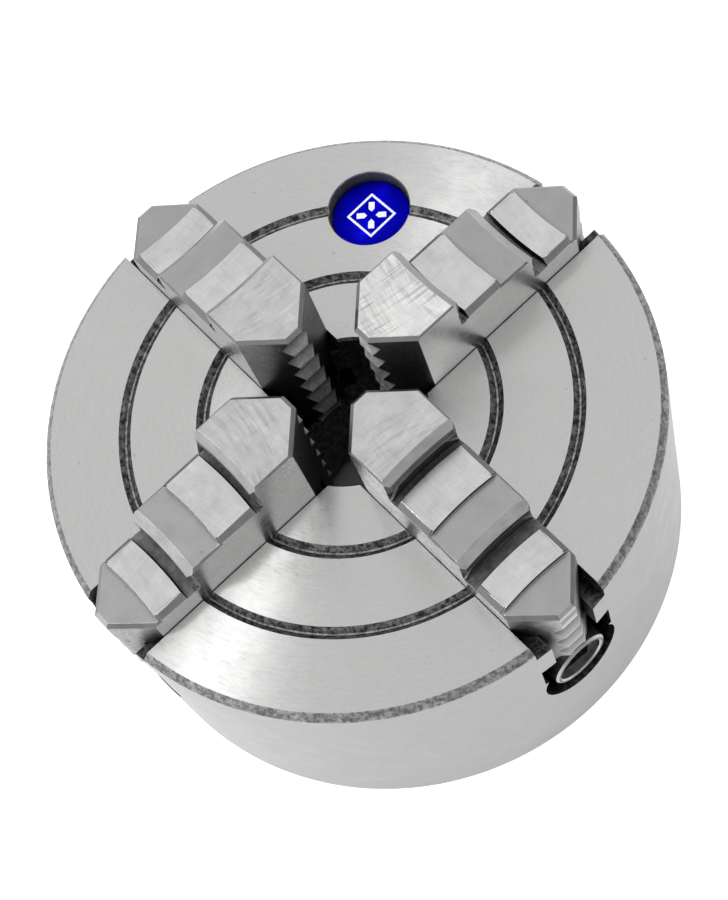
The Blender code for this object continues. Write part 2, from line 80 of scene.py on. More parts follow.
MOUNT_FLANK = 0.45 * MM
MOUNT_PITCH = 1.25 * MM
MOUNT_DEPTH = 16.0 * MM
MOUNT_SINK = 0.8 * MM                        # countersink of the tapped holes

# Badge
BADGE_X, BADGE_Y = [(low + high) / 2 for low, high in zip(*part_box("badge_disc"))][:2]
BADGE_POCKET_R = 8.5 * MM
BADGE_FLOOR = 4.2 * MM
BADGE_BREAK = 0.12 * MM
POCKET_BREAK = 0.2 * MM
BADGE_BRUSH_TURN = math.radians(42.5)        # heading of the brush marks in the enamel
MARK_TURN = math.radians(4)
MARK_R = 5.2 * MM                            # half diagonal of the sign's square
MARK_BAND = 0.672 * MM                       # how much smaller the square's inner edge is
MARK_RISE = 0.05 * MM
MARK_JAW = (0.9 * MM, 3.1 * MM, 0.62 * MM)   # near end, far end and half width of the sign's jaws

# Jaw, with u measured outward from the spindle axis
JAW_IN = 9.0 * MM
JAW_OUT = 62.4 * MM
JAW_HALF = 8.78 * MM
TIP_HALF = 1.9 * MM
STEP_TOPS = (20.7 * MM, 13.9 * MM, 6.9 * MM)
RELIEF_DROP = 1.0 * MM                       # matt part of each step, below its ground land
BEVEL_TOP = (24.5 * MM, 42.7 * MM)
BEVEL = (1.5 * MM, 1.9 * MM)
WALL_U = tuple(top + size for top, size in zip(BEVEL_TOP, BEVEL))
GROOVE_OUT = (27.2 * MM, 47.2 * MM)
GROOVE_DEPTH = 1.6 * MM
GROOVE_LEAN = 0.3 * MM
UNDERCUT = 0.5 * MM
UNDERCUT_RISE = (2.95 * MM, 2.45 * MM)       # height of the undercut's lip above the land
BRIGHT_EDGE = 0.28 * MM                      # burnished strip along the lip of each undercut
LAND_END = (35.9 * MM, 53.8 * MM)
STEP_ARC_R = 75.0 * MM
STEP_ARC_HALF = math.radians(22)
STEP_ARC_STEPS = 44
SIDE_BREAK = 0.4 * MM
LAND_BREAK = 1.15 * MM
TIP_BREAK = 0.8 * MM
INNER_TEETH = (17.0 * MM, 5.42 * MM, 1.35 * MM)      # height of the first notch, pitch, depth
OUTER_TEETH = (-2.9 * MM, 5.6 * MM, 1.6 * MM)
TOOTH_FLAT = 0.3 * MM
TOOTH_CLEAR = 0.1 * MM
WALL_CORNER = 0.9 * MM                       # chamfer down the corners of each step's wall
FINE_BREAK = 0.1 * MM                        # broken edges of the jaws
FINE_BREAK_ANGLE = math.radians(28)
WELD = 0.005 * MM                            # joins the slivers that the broken edges leave
HATCHED_JAW = 0                              # the jaw whose crown is cross-hatched

# Jaw screw
SCREW_START = 19.4 * MM
SCREW_END = 62.0 * MM
THREADS = ((20.2 * MM, 37.3 * MM), (45.3 * MM, 54.6 * MM))
LEAD = 4.0 * MM
ROOT_R = 6.4 * MM
CREST_R = 8.3 * MM
CREST_WIDTH = 1.1 * MM
FLANK = 0.8 * MM
NECK_R = 4.6 * MM
SQUARE = 7.0 * MM
SQUARE_DEPTH = 12.0 * MM
MOUTH_R = 5.25 * MM                          # round recess in which the square socket starts
MOUTH_DEPTH = 1.5 * MM
MOUTH_BREAK = 0.25 * MM
THREAD_MARGIN = 0.02 * MM

OVERRUN = 5.0 * MM                           # how far a cutter runs past the piece
SPILL = 1.5 * MM
CUTTER_CLEAR = 0.2 * MM
FACE_REACH = 0.2 * MM                        # slack in telling which surface a face belongs to
TINY = 0.02 * MM
SLIVER = 0.002 * MM
ALONG_X = Matrix(((0, 0, 1, 0), (1, 0, 0, 0), (0, 1, 0, 0), (0, 0, 0, 1)))
ALONG_Y = Matrix(((1, 0, 0, 0), (0, 0, -1, 0), (0, 1, 0, 0), (0, 0, 0, 1)))

# Noise scales of the metals, in features per metre
CLOUDS, GRAINS, DIRT, SPECKS, WEAR_AND_HIGHLIGHT_PATCHES, SCRATCH_PATCHES = 230.0, 2600.0, 1000.0, 900.0, 600.0, 170.0
# Reach and tone of the brightened edges: partly scuffed metal, partly painted highlight.
WEAR_AND_HIGHLIGHT_REACH = 0.2 * MM
WORN_AND_HIGHLIGHT_TONE = 0.92
BUMP_REACH = 0.02 * MM
RISE_SHARE = 1.7                             # weight of height against radius in concentric marks


# ---------------------------------------------------------------- shader helpers

def add(tree, kind, settings=None, **inputs):
    """Add a shader node.

    Each keyword is an input, by name or as i0, i1 and so on, with a value or a socket.
    """
    made = tree.nodes.new("ShaderNode" + kind)
    for key, value in (settings or {}).items():
        setattr(made, key, value)
    for key, value in inputs.items():
        indexed = key[0] == "i" and key[1:].isdigit()
        socket = made.inputs[int(key[1:])] if indexed else made.inputs[key.replace("_", " ")]
        if isinstance(value, bpy.types.NodeSocket):
            tree.links.new(value, socket)
        else:
            socket.default_value = value
    return made


def math_node(tree, operation, first, second=0.0):
    return add(tree, "Math", {"operation": operation}, i0=first, i1=second).outputs[0]


def remap(tree, value, low, high, to_low, to_high):
    """Linear map of a value between two ranges, held at the ends."""
    made = add(tree, "MapRange", None, Value=value)
    limits = (("From Min", low), ("From Max", high), ("To Min", to_low), ("To Max", to_high))
    for name, number in limits:
        made.inputs[name].default_value = number
    return made.outputs["Result"]


def mix(tree, factor, first, second):
    """Mix of two colours."""
    made = add(tree, "Mix", {"data_type": "RGBA"}, i0=factor, i6=first, i7=second)
    return made.outputs[2]


def noise(tree, vector, scale, detail=3.0, rough=0.55):
    """Noise that differs from piece to piece."""
    seed = math_node(tree, "MULTIPLY", add(tree, "ObjectInfo").outputs["Random"], 60.0)
    return add(tree, "TexNoise", {"noise_dimensions": "4D"}, Vector=vector, W=seed, Scale=scale,
               Detail=detail, Roughness=rough).outputs["Fac"]


def object_place(tree):
    return add(tree, "TexCoord").outputs["Object"]


def about(tree, centre):
    """Object coordinates measured from a point in the plan."""
    return add(tree, "Mapping", None, Vector=object_place(tree),
               Location=(-centre[0], -centre[1], 0)).outputs[0]


def lines_along(tree, scales, turn=0.0):
    """Object coordinates turned about Z, then scaled apart along the three axes."""
    heading = add(tree, "Mapping", None, Vector=object_place(tree), Rotation=(0, 0, turn)).outputs[0]
    return add(tree, "Mapping", None, Vector=heading, Scale=scales).outputs[0]


def lines_around(tree, fine, long, centre=(0.0, 0.0)):
    """Coordinates of concentric marks about a point: fine in radius and height, long around it."""
    moved = about(tree, centre)
    parts = add(tree, "SeparateXYZ", None, Vector=moved).outputs
    flat = add(tree, "CombineXYZ", None, X=parts[0], Y=parts[1])
    radius = length(tree, flat.outputs[0])
    rise = math_node(tree, "MULTIPLY", parts[2], RISE_SHARE)
    depth = math_node(tree, "MULTIPLY", math_node(tree, "ADD", radius, rise), fine)
    held = math_node(tree, "MAXIMUM", radius, 0.001)
    east = math_node(tree, "MULTIPLY", math_node(tree, "DIVIDE", parts[0], held), long)
    north = math_node(tree, "MULTIPLY", math_node(tree, "DIVIDE", parts[1], held), long)
    return add(tree, "CombineXYZ", None, X=depth, Y=east, Z=north).outputs[0]


def dot(tree, first, second):
    return add(tree, "VectorMath", {"operation": "DOT_PRODUCT"}, i0=first, i1=second).outputs["Value"]


def length(tree, vector):
    return add(tree, "VectorMath", {"operation": "LENGTH"}, i0=vector).outputs["Value"]


def times(tree, *values):
    """Product of values and sockets."""
    product = values[0]
    for value in values[1:]:
        product = math_node(tree, "MULTIPLY", product, value)
    return product


def edge_mask(tree, radius):
    """About 1 where the surface turns a corner within the radius, 0 on flats."""
    rounded = add(tree, "Bevel", {"samples": 4}, Radius=radius).outputs[0]
    facing = add(tree, "NewGeometry").outputs["Normal"]
    level = dot(tree, rounded, facing)
    return remap(tree, level, 0.995, 0.9, 0.0, 1.0)


def recess(depth, darkest):
    """Painted shade: 1 in the open, falling to darkest in corners and deep gaps, where shade falls."""
    def shade(tree):
        open_share = add(tree, "AmbientOcclusion", {"samples": 6}, Distance=depth).outputs["AO"]
        return remap(tree, open_share, 0.25, 0.8, darkest, 1.0)
    return shade


def tooth_roots(teeth, darkest):
    """Painted shade on a jaw's teeth: 1 on their crests, falling to darkest at the roots of the notches
    between them.
    """
    first, pitch, _ = teeth

    def shade(tree):
        height = add(tree, "SeparateXYZ", None, Vector=object_place(tree)).outputs[2]
        above = math_node(tree, "SUBTRACT", height, BODY_H + first)
        from_root = math_node(tree, "PINGPONG", above, pitch / 2)
        return remap(tree, from_root, 0.0, 0.42 * pitch, darkest, 1.0)
    return shade


def along_the_lathe(tree, shader, amount):
    """Stretch the highlights across the concentric turning marks."""
    shader.inputs["Anisotropic"].default_value = amount
    shader.inputs["Anisotropic Rotation"].default_value = 0.25
    tangent = add(tree, "Tangent", {"direction_type": "RADIAL", "axis": "Z"}).outputs[0]
    tree.links.new(tangent, shader.inputs["Tangent"])


def metal(name, tone, roughness, grain, lines=0.06, cloud=0.08, bump=0.12, specks=0.0, wear_and_highlight=0.5,
          anisotropy=0.0, grime=0.0, scratches=(), shade=recess(6.0 * MM, 0.45), metallic=1.0):
    """Bare metal.

    grain(tree) gives the coordinates of its machining marks, and shade(tree) a factor of painted
    shade for its recesses.  lines, cloud, specks and grime are the shares by which the marks, the
    broad blotches, the pits and the dirt change its tone.  wear_and_highlight is how far its edges
    are brightened, partly as scuffed metal and partly as a painted highlight.
    Each of the scratches is a set of arcs: their centre, their fineness across and along, how
    narrow they are, and the factor by which they change the tone.
    """
    material = bpy.data.materials.new(name)
    material.use_nodes = True
    tree = material.node_tree
    shader = tree.nodes["Principled BSDF"]
    shader.inputs["Metallic"].default_value = metallic
    place = object_place(tree)
    marks = noise(tree, grain(tree), 1.0, 4.0, 0.65)
    clouds = noise(tree, place, CLOUDS, 5.0, 0.6)
    grains = noise(tree, place, GRAINS, 3.0, 0.6)
    value = times(tree, tone, remap(tree, marks, 0.3, 0.7, 1 - lines, 1 + lines),
                  remap(tree, clouds, 0.32, 0.68, 1 - cloud, 1 + cloud),
                  remap(tree, grains, 0.3, 0.7, 0.97, 1.03), shade(tree))
    height = math_node(tree, "ADD", marks, times(tree, grains, 0.4))
    for arc_centre, fine, long, narrow, amount in scratches:
        arcs = noise(tree, lines_around(tree, fine, long, arc_centre), 1.0, 3.0, 0.6)
        patch = noise(tree, place, SCRATCH_PATCHES, 2.0)
        score = times(tree, remap(tree, arcs, 0.5, 0.5 + narrow, 0.0, 1.0),
                      remap(tree, patch, 0.38, 0.6, 0.0, 1.0))
        value = times(tree, value, remap(tree, score, 0.0, 1.0, 1.0, amount))
        height = math_node(tree, "SUBTRACT", height, times(tree, score, 0.5))
    if grime:
        dirt = noise(tree, place, DIRT, 5.0, 0.7)
        value = times(tree, value, remap(tree, dirt, 0.42, 0.58, 1 - grime, 1.0))
    if specks:
        spots = noise(tree, place, SPECKS, 2.0, 0.5)
        value = times(tree, value, remap(tree, spots, 0.72, 0.77, 1.0, 1 - specks))
    # Edges brightened towards a pale tone: partly scuffed metal, partly painted highlight.
    worn_and_highlit = times(tree, edge_mask(tree, WEAR_AND_HIGHLIGHT_REACH),
                 remap(tree, noise(tree, place, WEAR_AND_HIGHLIGHT_PATCHES, 3.0), 0.35, 0.6, 0.3, 1.0))
    shown = add(tree, "Mix", {"data_type": "FLOAT"}, i0=times(tree, worn_and_highlit, wear_and_highlight), i2=value,
                i3=WORN_AND_HIGHLIGHT_TONE).outputs[0]
    tree.links.new(mix(tree, shown, (0.0, 0.0, 0.0, 1.0), (1.0, 1.0, 0.992, 1.0)),
                   shader.inputs["Base Color"])
    dull = math_node(tree, "ADD", remap(tree, marks, 0.3, 0.7, roughness * 0.85, roughness * 1.15),
                     remap(tree, clouds, 0.3, 0.7, -0.04, 0.05))
    tree.links.new(math_node(tree, "ADD", dull, remap(tree, worn_and_highlit, 0.0, 1.0, 0.0, -0.08)),
                   shader.inputs["Roughness"])
    raised = add(tree, "Bump", None, Strength=bump, Distance=BUMP_REACH, Height=height)
    tree.links.new(raised.outputs[0], shader.inputs["Normal"])
    if anisotropy:
        along_the_lathe(tree, shader, anisotropy)
    return material


def turned(fine, long):
    """Grain of a lathe: concentric marks about the spindle axis."""
    return lambda tree: lines_around(tree, fine, long)


def brushed(scales, turn=0.0):
    """Straight grain.  The smallest of the three scales is the direction of the marks."""
    return lambda tree: lines_along(tree, scales, turn)


# ---------------------------------------------------------------- mesh helpers

def finish_object(name, bm, angle=30.0):
    """Smooth shaded object from a bmesh, sharp along the creases beyond the angle."""
    bmesh.ops.recalc_face_normals(bm, faces=bm.faces)
    mesh = bpy.data.meshes.new(name)
    bm.to_mesh(mesh)
    bm.free()
    mesh.shade_smooth()
    mesh.set_sharp_from_angle(angle=math.radians(angle))
    obj = bpy.data.objects.new(name, mesh)
    bpy.context.scene.collection.objects.link(obj)
    return obj


def prism(outline, low, high, place=Matrix.Identity(4)):
    """Bmesh of an outline raised from one height to another, then moved to its place."""
    bm = bmesh.new()
    face = bm.faces.new([bm.verts.new((x, y, low)) for x, y in outline])
    grown = bmesh.ops.extrude_face_region(bm, geom=[face])
    lifted = [item for item in grown["geom"] if isinstance(item, bmesh.types.BMVert)]
    bmesh.ops.translate(bm, verts=lifted, vec=(0, 0, high - low))
    bmesh.ops.transform(bm, matrix=place, verts=bm.verts)
    return bm


def lathe(profile, steps, place=Matrix.Identity(4)):
    """Bmesh of (radius, z) points turned about Z.  Points on the axis close the ends."""
    bm = bmesh.new()
    columns = []
    poles = {i: bm.verts.new((0, 0, z)) for i, (radius, z) in enumerate(profile) if radius == 0}
    for step in range(steps):
        angle = 2 * math.pi * step / steps
        columns.append([poles.get(i) or bm.verts.new((r * math.cos(angle), r * math.sin(angle), z))
                        for i, (r, z) in enumerate(profile)])
    closed = 0 if poles else 1
    for step, column in enumerate(columns):
        after = columns[(step + 1) % steps]
        for i in range(len(profile) - 1 + closed):
            j = (i + 1) % len(profile)
            corners = [column[i], after[i], after[j], column[j]]
            unique = [v for k, v in enumerate(corners) if v not in corners[:k]]
            bm.faces.new(unique)
    bmesh.ops.transform(bm, matrix=place, verts=bm.verts)
    return bm


def cylinder(radius, low, high, steps, place):
    return lathe([(0, low), (radius, low), (radius, high), (0, high)], steps, place)


def cut(obj, cutters):
    """Subtract the cutters one by one, each a bmesh, and keep only the result."""
    made = []
    for number, bm in enumerate(cutters):
        cutter = finish_object("%s_cutter_%d" % (obj.name, number), bm)
        modifier = obj.modifiers.new("cut", "BOOLEAN")
        modifier.operation = "DIFFERENCE"
        modifier.solver = "EXACT"
        modifier.object = cutter
        made.append(cutter)
    apply_modifiers(obj)
    for cutter in made:
        bpy.data.objects.remove(cutter, do_unlink=True)


def apply_modifiers(obj):
    depsgraph = bpy.context.evaluated_depsgraph_get()
    mesh = bpy.data.meshes.new_from_object(obj.evaluated_get(depsgraph))
    obj.modifiers.clear()
    obj.data = mesh


def clean(obj, angle=30.0):
    """Weld the smallest slivers that the cuts leave, then mark the creases."""
    bm = bmesh.new()
    bm.from_mesh(obj.data)
    bmesh.ops.remove_doubles(bm, verts=bm.verts, dist=SLIVER)
    bmesh.ops.dissolve_degenerate(bm, edges=bm.edges, dist=SLIVER)
    bmesh.ops.recalc_face_normals(bm, faces=bm.faces)
    bm.to_mesh(obj.data)
    bm.free()
    obj.data.shade_smooth()
    obj.data.set_sharp_from_angle(angle=math.radians(angle))


def paint(obj, materials, choose):
    """Give each face the material that choose(centre, normal) names."""
    obj.data.materials.clear()
    names = list(materials)
    for name in names:
        obj.data.materials.append(materials[name])
    for face in obj.data.polygons:
        face.material_index = names.index(choose(face.center, face.normal))


def quarter(index):
    """Turn about the spindle axis from the first jaw's place to another's."""
    return Matrix.Rotation(index * math.pi / 2, 4, "Z")


def radial(height):
    """Place that lays the +Z of a piece along +X, at a height."""
    return Matrix.Translation((0, 0, height)) @ Matrix.Rotation(math.pi / 2, 4, "Y")


# ---------------------------------------------------------------- threads

def thread_points(low, high, share, shape):
    """Points of one column of a thread, which fades in and out over half a lead.

    share is how far round the rod the column stands, and shape is the root and crest radius, half
    the crest's width and the flank's width, after the lead.
    """
    lead, root, crest, half, flank = shape
    points = [(low, root)]
    for turn in range(math.floor(low / lead) - 1, math.ceil(high / lead) + 1):
        ridge = ((-half - flank, root), (-half, crest), (half, crest), (half + flank, root))
        for offset, radius in ridge:
            z = (turn + share) * lead + offset
            if low + THREAD_MARGIN < z < high - THREAD_MARGIN:
                rise = min((z - low) / (lead / 2), (high - z) / (lead / 2), 1.0)
                points.append((z, root + (radius - root) * rise))
    return points + [(high, root)]


def stitch(bm, first, second, reach):
    """Fill between two columns, pairing the points whose heights differ by less than the reach."""
    i = j = 0
    while i < len(first) - 1 or j < len(second) - 1:
        next_i = first[i + 1].co.z if i < len(first) - 1 else math.inf
        next_j = second[j + 1].co.z if j < len(second) - 1 else math.inf
        if abs(next_i - next_j) < reach:
            bm.faces.new((first[i], first[i + 1], second[j + 1], second[j]))
            i += 1
            j += 1
        elif next_i < next_j:
            bm.faces.new((first[i], first[i + 1], second[j]))
            i += 1
        else:
            bm.faces.new((first[i], second[j + 1], second[j]))
            j += 1


def threaded_rod(layout, shape, steps, hand=-1, place=Matrix.Identity(4)):
    """Bmesh of a rod along +Z.  The layout lists ("ring", z, radius) and ("thread", low, high).

    A hand of -1 makes a left-hand thread.
    """
    bm = bmesh.new()
    columns = []
    for step in range(steps):
        points = []
        for kind, first, second in layout:
            if kind == "ring":
                points.append((first, second))
            else:
                points += thread_points(first, second, step / steps, shape)
        angle = hand * 2 * math.pi * step / steps
        columns.append([bm.verts.new((r * math.cos(angle), r * math.sin(angle), z))
                        for z, r in points])
    for index, column in enumerate(columns):
        stitch(bm, column, columns[(index + 1) % steps], shape[0] / steps * 1.01)
    bm.faces.new([column[0] for column in columns])
    bm.faces.new([column[-1] for column in reversed(columns)])
    bmesh.ops.transform(bm, matrix=place, verts=bm.verts)
    return bm


def jaw_thread(grow=0.0):
    return (LEAD, ROOT_R + grow, CREST_R + grow, CREST_WIDTH / 2 + grow, FLANK)


# ---------------------------------------------------------------- body

def body_profile():
    """Half section of the body without its slots and holes, as (radius, height) points."""
    rim_in, rim_down = RIM_BREAK
    shoulder_in, shoulder_down = RING_SHOULDER
    points = [(BORE_R + BORE_BREAK, BODY_H)]
    for mid, half in RING_GROOVES:
        depth = half - RING_FLAT
        points += [(mid - half, BODY_H), (mid - half + shoulder_in, BODY_H - shoulder_down),
                   (mid - RING_FLAT, BODY_H - depth), (mid + RING_FLAT, BODY_H - depth),
                   (mid + half - shoulder_in, BODY_H - shoulder_down), (mid + half, BODY_H)]
    points += [(BODY_R - rim_in - EASE, BODY_H), (BODY_R - rim_in + FINE_EASE, BODY_H - EASE),
               (BODY_R - FINE_EASE, BODY_H - rim_down + EASE), (BODY_R, BODY_H - rim_down - EASE),
               (BODY_R, REAR_BREAK + FINE_EASE), (BODY_R - FINE_EASE, REAR_BREAK - FAINT_EASE),
               (BODY_R - REAR_BREAK + FAINT_EASE, FAINT_EASE), (BODY_R - REAR_BREAK - FINE_EASE, 0),
               (REGISTER_R + REGISTER_BREAK, 0), (REGISTER_R, REGISTER_BREAK),
               (REGISTER_R, REGISTER_DEPTH),
               (BORE_R + BORE_BREAK, REGISTER_DEPTH), (BORE_R, REGISTER_DEPTH + BORE_BREAK),
               (BORE_R, BODY_H - BORE_BREAK)]
    return points


def slot_outline():
    """T section of the slot, its lips and lugs with broken edges."""
    top = BODY_H + OVERRUN
    small = SLOT_BREAK
    right = [(SLOT_HALF, BODY_H - SLOT_FLOOR), (SLOT_HALF, BODY_H - LUG_BOTTOM),
             (LUG_HALF + small, BODY_H - LUG_BOTTOM), (LUG_HALF, BODY_H - LUG_BOTTOM + small),
             (LUG_HALF, BODY_H - LUG_TOP - small), (LUG_HALF + small, BODY_H - LUG_TOP),
             (SLOT_HALF, BODY_H - LUG_TOP), (SLOT_HALF, BODY_H - small),
             (SLOT_HALF + small, BODY_H), (SLOT_HALF + small + OVERRUN, top)]
    left = [(-across, height) for across, height in reversed(right)]
    return right + left


def badge_place():
    heading = Matrix.Rotation(math.atan2(BADGE_Y, BADGE_X), 4, "Z")
    return Matrix.Translation((BADGE_X, BADGE_Y, 0)) @ heading


def body_cutters():
    reach = BODY_R + OVERRUN
    for index in range(2):
        yield prism(slot_outline(), -reach, reach, quarter(index) @ ALONG_X)
    for index in range(4):
        yield cylinder(SCREW_BORE_R, SCREW_BORE_END, reach, 72, quarter(index) @ radial(SCREW_Z))
    middle = (NECK[0] + NECK[1]) / 2
    half_thick, half_width = (NECK[1] - NECK[0]) / 2, YOKE_HALF_WIDTH + GAP
    outline = [(-half_thick, -half_width), (half_thick, -half_width),
               (half_thick, half_width), (-half_thick, half_width)]
    for index in range(4):
        place = quarter(index) @ Matrix.Translation((middle, 0, 0))
        yield prism(outline, -MM, SCREW_Z, place)
        for side in (-1, 1):
            across = Matrix.Translation((0, side * (YOKE_HALF_WIDTH + GAP / 2), 0))
            yield cylinder(SET_SCREW_R + GAP, -MM, SET_SCREW_BORE, 32, place @ across)
    root, crest = MOUNT_THREAD
    below = 2 * MM
    layout = [("ring", -below, crest + MOUNT_SINK + below), ("ring", MOUNT_SINK, crest),
              ("ring", MOUNT_SINK + TINY, root), ("thread", MM, MOUNT_DEPTH - MM),
              ("ring", MOUNT_DEPTH, root), ("ring", MOUNT_DEPTH + MM, MM)]
    shape = (MOUNT_PITCH, root, crest, MOUNT_CREST_HALF, MOUNT_FLANK)
    for index in range(4):
        place = quarter(index + 0.5) @ Matrix.Translation((MOUNT_PCD_R, 0, 0))
        yield threaded_rod(layout, shape, 32, 1, place)
    floor = BODY_H - BADGE_FLOOR
    pocket = [(0, floor), (BADGE_POCKET_R, floor), (BADGE_POCKET_R, BODY_H - POCKET_BREAK),
              (BADGE_POCKET_R + POCKET_BREAK, BODY_H),
              (BADGE_POCKET_R + POCKET_BREAK, BODY_H + MM), (0, BODY_H + MM)]
    yield lathe(pocket, 128, badge_place())


def body_face(centre, normal):
    """Which finish a face of the body has."""
    radius = math.hypot(centre.x, centre.y)
    top = BODY_H - centre.z
    if top < TINY and normal.z > 0.9:
        return "face"
    for mid, half in RING_GROOVES:
        if top < half and abs(radius - mid) < half and abs(normal.z) > 0.3:
            return "ringline" if abs(radius - mid) < RING_FLAT else "ring"
    near_rim = radius > BODY_R - RIM_BREAK[0] - FACE_REACH and top < RIM_BREAK[1] + FACE_REACH
    if near_rim and normal.z > 0.2:
        return "rim"
    outward = (centre.x * normal.x + centre.y * normal.y) / max(radius, MM)
    if radius > BODY_R - REAR_BREAK - FACE_REACH and (outward > 0.6 or centre.z < REAR_BREAK):
        return "side"
    if centre.z < REGISTER_DEPTH + TINY and normal.z < -0.5:
        return "rear"
    if math.hypot(centre.x - BADGE_X, centre.y - BADGE_Y) < BADGE_POCKET_R + 0.3 * MM:
        return "pocket"
    if top > LUG_TOP - TINY or radius < BORE_R + MM:
        return "slot"
    return "lip"


def round_side(mesh):
    """Give the turned side the normals of a true cylinder, so that its cut faces shade smoothly."""
    normals = [corner.vector.copy() for corner in mesh.corner_normals]
    for face in mesh.polygons:
        if abs(face.normal.z) > 0.01 or math.hypot(face.center.x, face.center.y) < BODY_R - 0.1 * MM:
            continue
        for loop in face.loop_indices:
            point = mesh.vertices[mesh.loops[loop].vertex_index].co
            normals[loop] = Vector((point.x, point.y, 0)).normalized()
    mesh.normals_split_custom_set(normals)


def make_body():
    body = finish_object("chuck_body", lathe(body_profile(), BODY_STEPS))
    cut(body, list(body_cutters()))
    clean(body, BODY_CREASE)
    # Painted shade in corners, kept shallow on the open faces of the body.
    shallow = recess(1.5 * MM, 0.75)
    finishes = {
        "face": metal("iron_turned_face", 0.447, 0.33, turned(4000.0, 26.0), lines=0.1, cloud=0.05,
                      specks=0.3, wear_and_highlight=0.3, anisotropy=0.95, shade=shallow),
        "ring": metal("iron_ring_groove", 0.26, 0.5, turned(2500.0, 30.0), lines=0.2, cloud=0.2,
                      bump=0.3, wear_and_highlight=0.4, grime=0.85),
        "ringline": metal("iron_ring_floor", 0.3, 0.35, turned(2500.0, 30.0), lines=0.2, cloud=0.1,
                          bump=0.2, wear_and_highlight=0.2, grime=0.7),
        "rim": metal("iron_rim_chamfer", 0.34, 0.42, turned(2500.0, 30.0), lines=0.15, cloud=0.2,
                     bump=0.3, wear_and_highlight=0.3, grime=0.6),
        # Painted shade: the turned side is given a darker tone than the turned face and rear, though it
        # is the same iron.
        "side": metal("iron_turned_side", 0.28, 0.32, turned(3500.0, 10.0), lines=0.04, cloud=0.04,
                      bump=0.1, specks=0.25, wear_and_highlight=0.3, anisotropy=0.5, shade=shallow),
        "rear": metal("iron_turned_rear", 0.42, 0.36, turned(4000.0, 10.0), lines=0.08, cloud=0.06,
                      bump=0.14, specks=0.2, wear_and_highlight=0.3, anisotropy=0.6),
        "slot": metal("iron_slot", 0.2, 0.5, brushed((300, 2500, 2500)), lines=0.2, cloud=0.3, bump=0.3,
                      wear_and_highlight=0.3, grime=0.85, shade=recess(14.0 * MM, 0.04)),
        "pocket": metal("iron_badge_pocket", 0.1, 0.55, brushed((500, 500, 2500)), lines=0.15,
                        cloud=0.15, bump=0.2, wear_and_highlight=0.6, grime=0.4, shade=recess(2.0 * MM, 0.5),
                        metallic=0.3),
        "lip": metal("iron_slot_lip", 0.4, 0.4, brushed((300, 2500, 2500)), lines=0.1, cloud=0.1,
                     bump=0.2, wear_and_highlight=0.4, shade=recess(6.0 * MM, 0.3)),
    }
    paint(body, finishes, body_face)
    round_side(body.data)
    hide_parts("body")
    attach(body, "chuck_body")


# ---------------------------------------------------------------- jaws

def jaw_plan():
    """Outline of a jaw from above, pointed at both ends."""
    slope = JAW_HALF - TIP_HALF
    half = [(JAW_IN, TIP_HALF), (JAW_IN + slope, JAW_HALF),
            (JAW_OUT - slope, JAW_HALF), (JAW_OUT, TIP_HALF)]
    return [(u, -v) for u, v in half] + half[::-1]


def step_cutter(step):
    """Everything above one lower step: bevel, wall, undercut groove, ground land and relief."""
    top = BODY_H + STEP_TOPS[step] - (RELIEF_DROP if step else 0.0)
    land = BODY_H + STEP_TOPS[step + 1]
    wall = WALL_U[step]
    out, drop = wall - BEVEL_TOP[step], BEVEL[step]
    start = BEVEL_TOP[step] - SPILL * out / drop
    beyond, ceiling = JAW_OUT + OVERRUN, BODY_H + STEP_TOPS[0] + OVERRUN
    lip = land + UNDERCUT_RISE[step]
    profile = [(start, top + SPILL), (wall, top - drop), (wall, lip + BRIGHT_EDGE), (wall, lip),
               (wall - UNDERCUT, lip - UNDERCUT), (wall - UNDERCUT, land - GROOVE_DEPTH),
               (GROOVE_OUT[step] - GROOVE_LEAN, land - GROOVE_DEPTH), (GROOVE_OUT[step], land),
               (LAND_END[step], land), (LAND_END[step], land - RELIEF_DROP),
               (beyond, land - RELIEF_DROP),
               (beyond, ceiling), (start, ceiling)]
    centre = wall + STEP_ARC_R
    bm = bmesh.new()
    ring = [bm.verts.new((u - centre, 0, z)) for u, z in profile]
    face = bm.faces.new(ring)
    bmesh.ops.rotate(bm, verts=ring, cent=(0, 0, 0), matrix=Matrix.Rotation(-STEP_ARC_HALF, 3, "Z"))
    bmesh.ops.spin(bm, geom=[face], cent=(0, 0, 0), axis=(0, 0, 1), angle=2 * STEP_ARC_HALF,
                   steps=STEP_ARC_STEPS, use_duplicate=False)
    bmesh.ops.translate(bm, verts=bm.verts, vec=(centre, 0, 0))
    return bm


def edge_cutter(start, end, out, size, overrun=0.0):
    """Wedge that chamfers a straight top edge."""
    start, end, out = Vector(start), Vector(end), Vector(out).normalized()
    along = (end - start).normalized()
    start, end = start - along * overrun, end + along * overrun
    up = Vector((0, 0, 1))
    section = [-out * size - (out - up) * SPILL, -up * size + (out - up) * SPILL,
               (out + up) * 2 * SPILL]
    bm = bmesh.new()
    ends = [[bm.verts.new(point + offset) for offset in section] for point in (start, end)]
    bm.faces.new(ends[0])
    bm.faces.new(ends[1][::-1])
    for i in range(3):
        j = (i + 1) % 3
        bm.faces.new((ends[0][i], ends[0][j], ends[1][j], ends[1][i]))
    return bm


def tooth_comb(tip, inward, teeth):
    """V notches across a jaw tip; inward is the direction into the jaw along u."""
    first, pitch, depth = teeth
    half = (pitch - TOOTH_FLAT) / 2 * (depth + TOOTH_CLEAR) / depth
    back = tip - inward * OVERRUN
    near = tip - inward * TOOTH_CLEAR
    outline = [(back, BODY_H + first + pitch)]
    height = BODY_H + first
    while height > BODY_H - SLOT_FLOOR - pitch:
        outline += [(near, height + half), (tip + inward * depth, height), (near, height - half)]
        height -= pitch
    outline.append((back, height))
    return prism(outline, -JAW_HALF, JAW_HALF, ALONG_Y)


